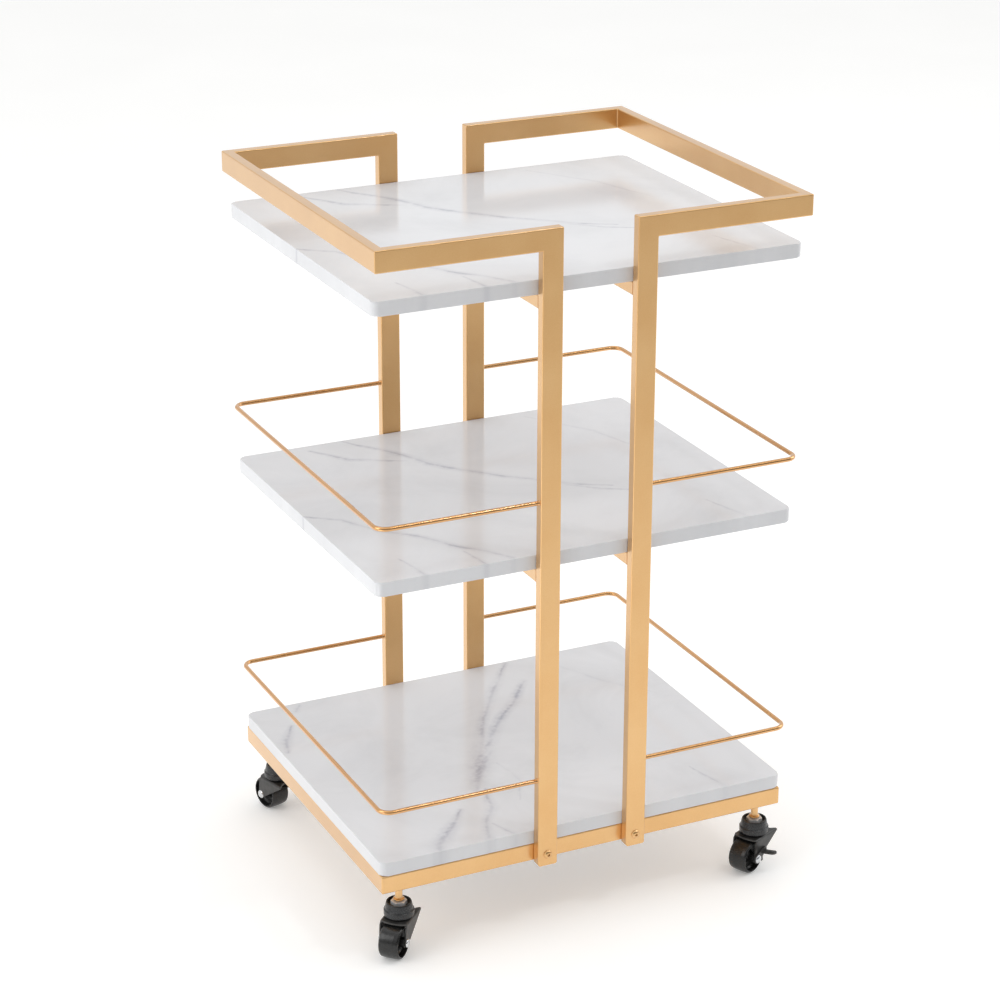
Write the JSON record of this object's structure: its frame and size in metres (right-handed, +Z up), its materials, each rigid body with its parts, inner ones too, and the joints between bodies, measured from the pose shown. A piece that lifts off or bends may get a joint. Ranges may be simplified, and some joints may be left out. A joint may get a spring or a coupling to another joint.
{
  "type": "rolling salon trolley",
  "caption": "Open tiered salon trolley with a satin gold tube frame, marble-look boards, wire galleries and black swivel casters.",
  "frame": {"origin": "centre of the bounding box on the floor", "axes": "+Z up, +X to the right along the front, -Y to the front"},
  "size_m": [0.5482, 0.4774, 0.8655],
  "materials": {
    "back_left_axle": "bright zinc-plated steel",
    "back_left_cup": "dark moulded bearing cover",
    "back_left_fork": "black electro-coated pressed steel",
    "back_left_nut": "bright zinc-plated steel",
    "back_left_stem": "satin gold paint on steel",
    "back_left_wheel": "black nylon wheel",
    "back_right_axle": "bright zinc-plated steel",
    "back_right_cup": "dark moulded bearing cover",
    "back_right_fork": "black electro-coated pressed steel",
    "back_right_nut": "bright zinc-plated steel",
    "back_right_stem": "satin gold paint on steel",
    "back_right_wheel": "black nylon wheel",
    "base_back_rail": "satin gold paint on steel",
    "base_front_rail": "satin gold paint on steel",
    "base_left_rail": "satin gold paint on steel",
    "base_right_rail": "satin gold paint on steel",
    "bottom_board": "polished white marble-look board",
    "front_left_axle": "bright zinc-plated steel",
    "front_left_cup": "dark moulded bearing cover",
    "front_left_fork": "black electro-coated pressed steel",
    "front_left_nut": "bright zinc-plated steel",
    "front_left_stem": "satin gold paint on steel",
    "front_left_wheel": "black nylon wheel",
    "front_right_axle": "bright zinc-plated steel",
    "front_right_brake": "black electro-coated pressed steel",
    "front_right_cup": "dark moulded bearing cover",
    "front_right_fork": "black electro-coated pressed steel",
    "front_right_nut": "bright zinc-plated steel",
    "front_right_stem": "satin gold paint on steel",
    "front_right_wheel": "black nylon wheel",
    "left_back_bolt": "bright zinc-plated steel",
    "left_back_post": "satin gold paint on steel",
    "left_back_rail": "satin gold paint on steel",
    "left_bottom_gallery": "satin gold paint on steel",
    "left_front_bolt": "bright zinc-plated steel",
    "left_front_post": "satin gold paint on steel",
    "left_front_rail": "satin gold paint on steel",
    "left_middle_bearer": "satin gold paint on steel",
    "left_middle_gallery": "satin gold paint on steel",
    "left_side_rail": "satin gold paint on steel",
    "left_top_bearer": "satin gold paint on steel",
    "middle_board": "polished white marble-look board",
    "right_back_bolt": "bright zinc-plated steel",
    "right_back_post": "satin gold paint on steel",
    "right_back_rail": "satin gold paint on steel",
    "right_bottom_gallery": "satin gold paint on steel",
    "right_front_bolt": "bright zinc-plated steel",
    "right_front_post": "satin gold paint on steel",
    "right_front_rail": "satin gold paint on steel",
    "right_middle_bearer": "satin gold paint on steel",
    "right_middle_gallery": "satin gold paint on steel",
    "right_side_rail": "satin gold paint on steel",
    "right_top_bearer": "satin gold paint on steel",
    "top_board": "polished white marble-look board"
  },
  "bodies": {
    "frame": {"back_left_cup": "back_left_cup", "back_left_nut": "back_left_nut", "back_left_stem": "back_left_stem", "back_right_cup": "back_right_cup", "back_right_nut": "back_right_nut", "back_right_stem": "back_right_stem", "base_back_rail": "base_back_rail", "base_front_rail": "base_front_rail", "base_left_rail": "base_left_rail", "base_right_rail": "base_right_rail", "bottom_board": "bottom_board", "front_left_cup": "front_left_cup", "front_left_nut": "front_left_nut", "front_left_stem": "front_left_stem", "front_right_cup": "front_right_cup", "front_right_nut": "front_right_nut", "front_right_stem": "front_right_stem", "left_back_bolt": "left_back_bolt", "left_back_post": "left_back_post", "left_back_rail": "left_back_rail", "left_bottom_gallery": "left_bottom_gallery", "left_front_bolt": "left_front_bolt", "left_front_post": "left_front_post", "left_front_rail": "left_front_rail", "left_middle_bearer": "left_middle_bearer", "left_middle_gallery": "left_middle_gallery", "left_side_rail": "left_side_rail", "left_top_bearer": "left_top_bearer", "middle_board": "middle_board", "right_back_bolt": "right_back_bolt", "right_back_post": "right_back_post", "right_back_rail": "right_back_rail", "right_bottom_gallery": "right_bottom_gallery", "right_front_bolt": "right_front_bolt", "right_front_post": "right_front_post", "right_front_rail": "right_front_rail", "right_middle_bearer": "right_middle_bearer", "right_middle_gallery": "right_middle_gallery", "right_side_rail": "right_side_rail", "right_top_bearer": "right_top_bearer", "top_board": "top_board"},
    "front_left_swivel": {"front_left_fork": "front_left_fork", "front_left_axle": "front_left_axle"},
    "front_left_roller": {"front_left_wheel": "front_left_wheel"},
    "front_right_swivel": {"front_right_fork": "front_right_fork", "front_right_axle": "front_right_axle"},
    "front_right_roller": {"front_right_wheel": "front_right_wheel"},
    "front_right_lever": {"front_right_brake": "front_right_brake"},
    "back_left_swivel": {"back_left_fork": "back_left_fork", "back_left_axle": "back_left_axle"},
    "back_left_roller": {"back_left_wheel": "back_left_wheel"},
    "back_right_swivel": {"back_right_fork": "back_right_fork", "back_right_axle": "back_right_axle"},
    "back_right_roller": {"back_right_wheel": "back_right_wheel"}
  },
  "joints": [
    {"name": "front_left_turn", "type": "hinge", "parent": "frame", "child": "front_left_swivel", "pos_m": [-0.24028, -0.20418, 0.0456], "axis": [0, 0, 1], "continuous": true},
    {"name": "front_left_spin", "type": "hinge", "parent": "front_left_swivel", "child": "front_left_roller", "pos_m": [-0.25161, -0.21512, 0.021], "axis": [0.6947, -0.7193, 0], "continuous": true},
    {"name": "front_right_turn", "type": "hinge", "parent": "frame", "child": "front_right_swivel", "pos_m": [0.23972, -0.20418, 0.0456], "axis": [0, 0, 1], "continuous": true},
    {"name": "front_right_spin", "type": "hinge", "parent": "front_right_swivel", "child": "front_right_roller", "pos_m": [0.22545, -0.21084, 0.021], "axis": [0.4226, -0.9063, 0], "continuous": true},
    {"name": "front_right_brake_press", "type": "hinge", "parent": "front_right_swivel", "child": "front_right_lever", "pos_m": [0.22545, -0.21084, 0.021], "axis": [-0.4226, 0.9063, 0], "range_deg": [0, 18]},
    {"name": "back_left_turn", "type": "hinge", "parent": "frame", "child": "back_left_swivel", "pos_m": [-0.24028, 0.18482, 0.0456], "axis": [0, 0, 1], "continuous": true},
    {"name": "back_left_spin", "type": "hinge", "parent": "back_left_swivel", "child": "back_left_roller", "pos_m": [-0.24435, 0.20003, 0.021], "axis": [-0.9659, -0.2588, 0], "continuous": true},
    {"name": "back_right_turn", "type": "hinge", "parent": "frame", "child": "back_right_swivel", "pos_m": [0.23972, 0.18482, 0.0456], "axis": [0, 0, 1], "continuous": true},
    {"name": "back_right_spin", "type": "hinge", "parent": "back_right_swivel", "child": "back_right_roller", "pos_m": [0.25143, 0.17428, 0.021], "axis": [0.6691, 0.7431, 0], "continuous": true}
  ]
}
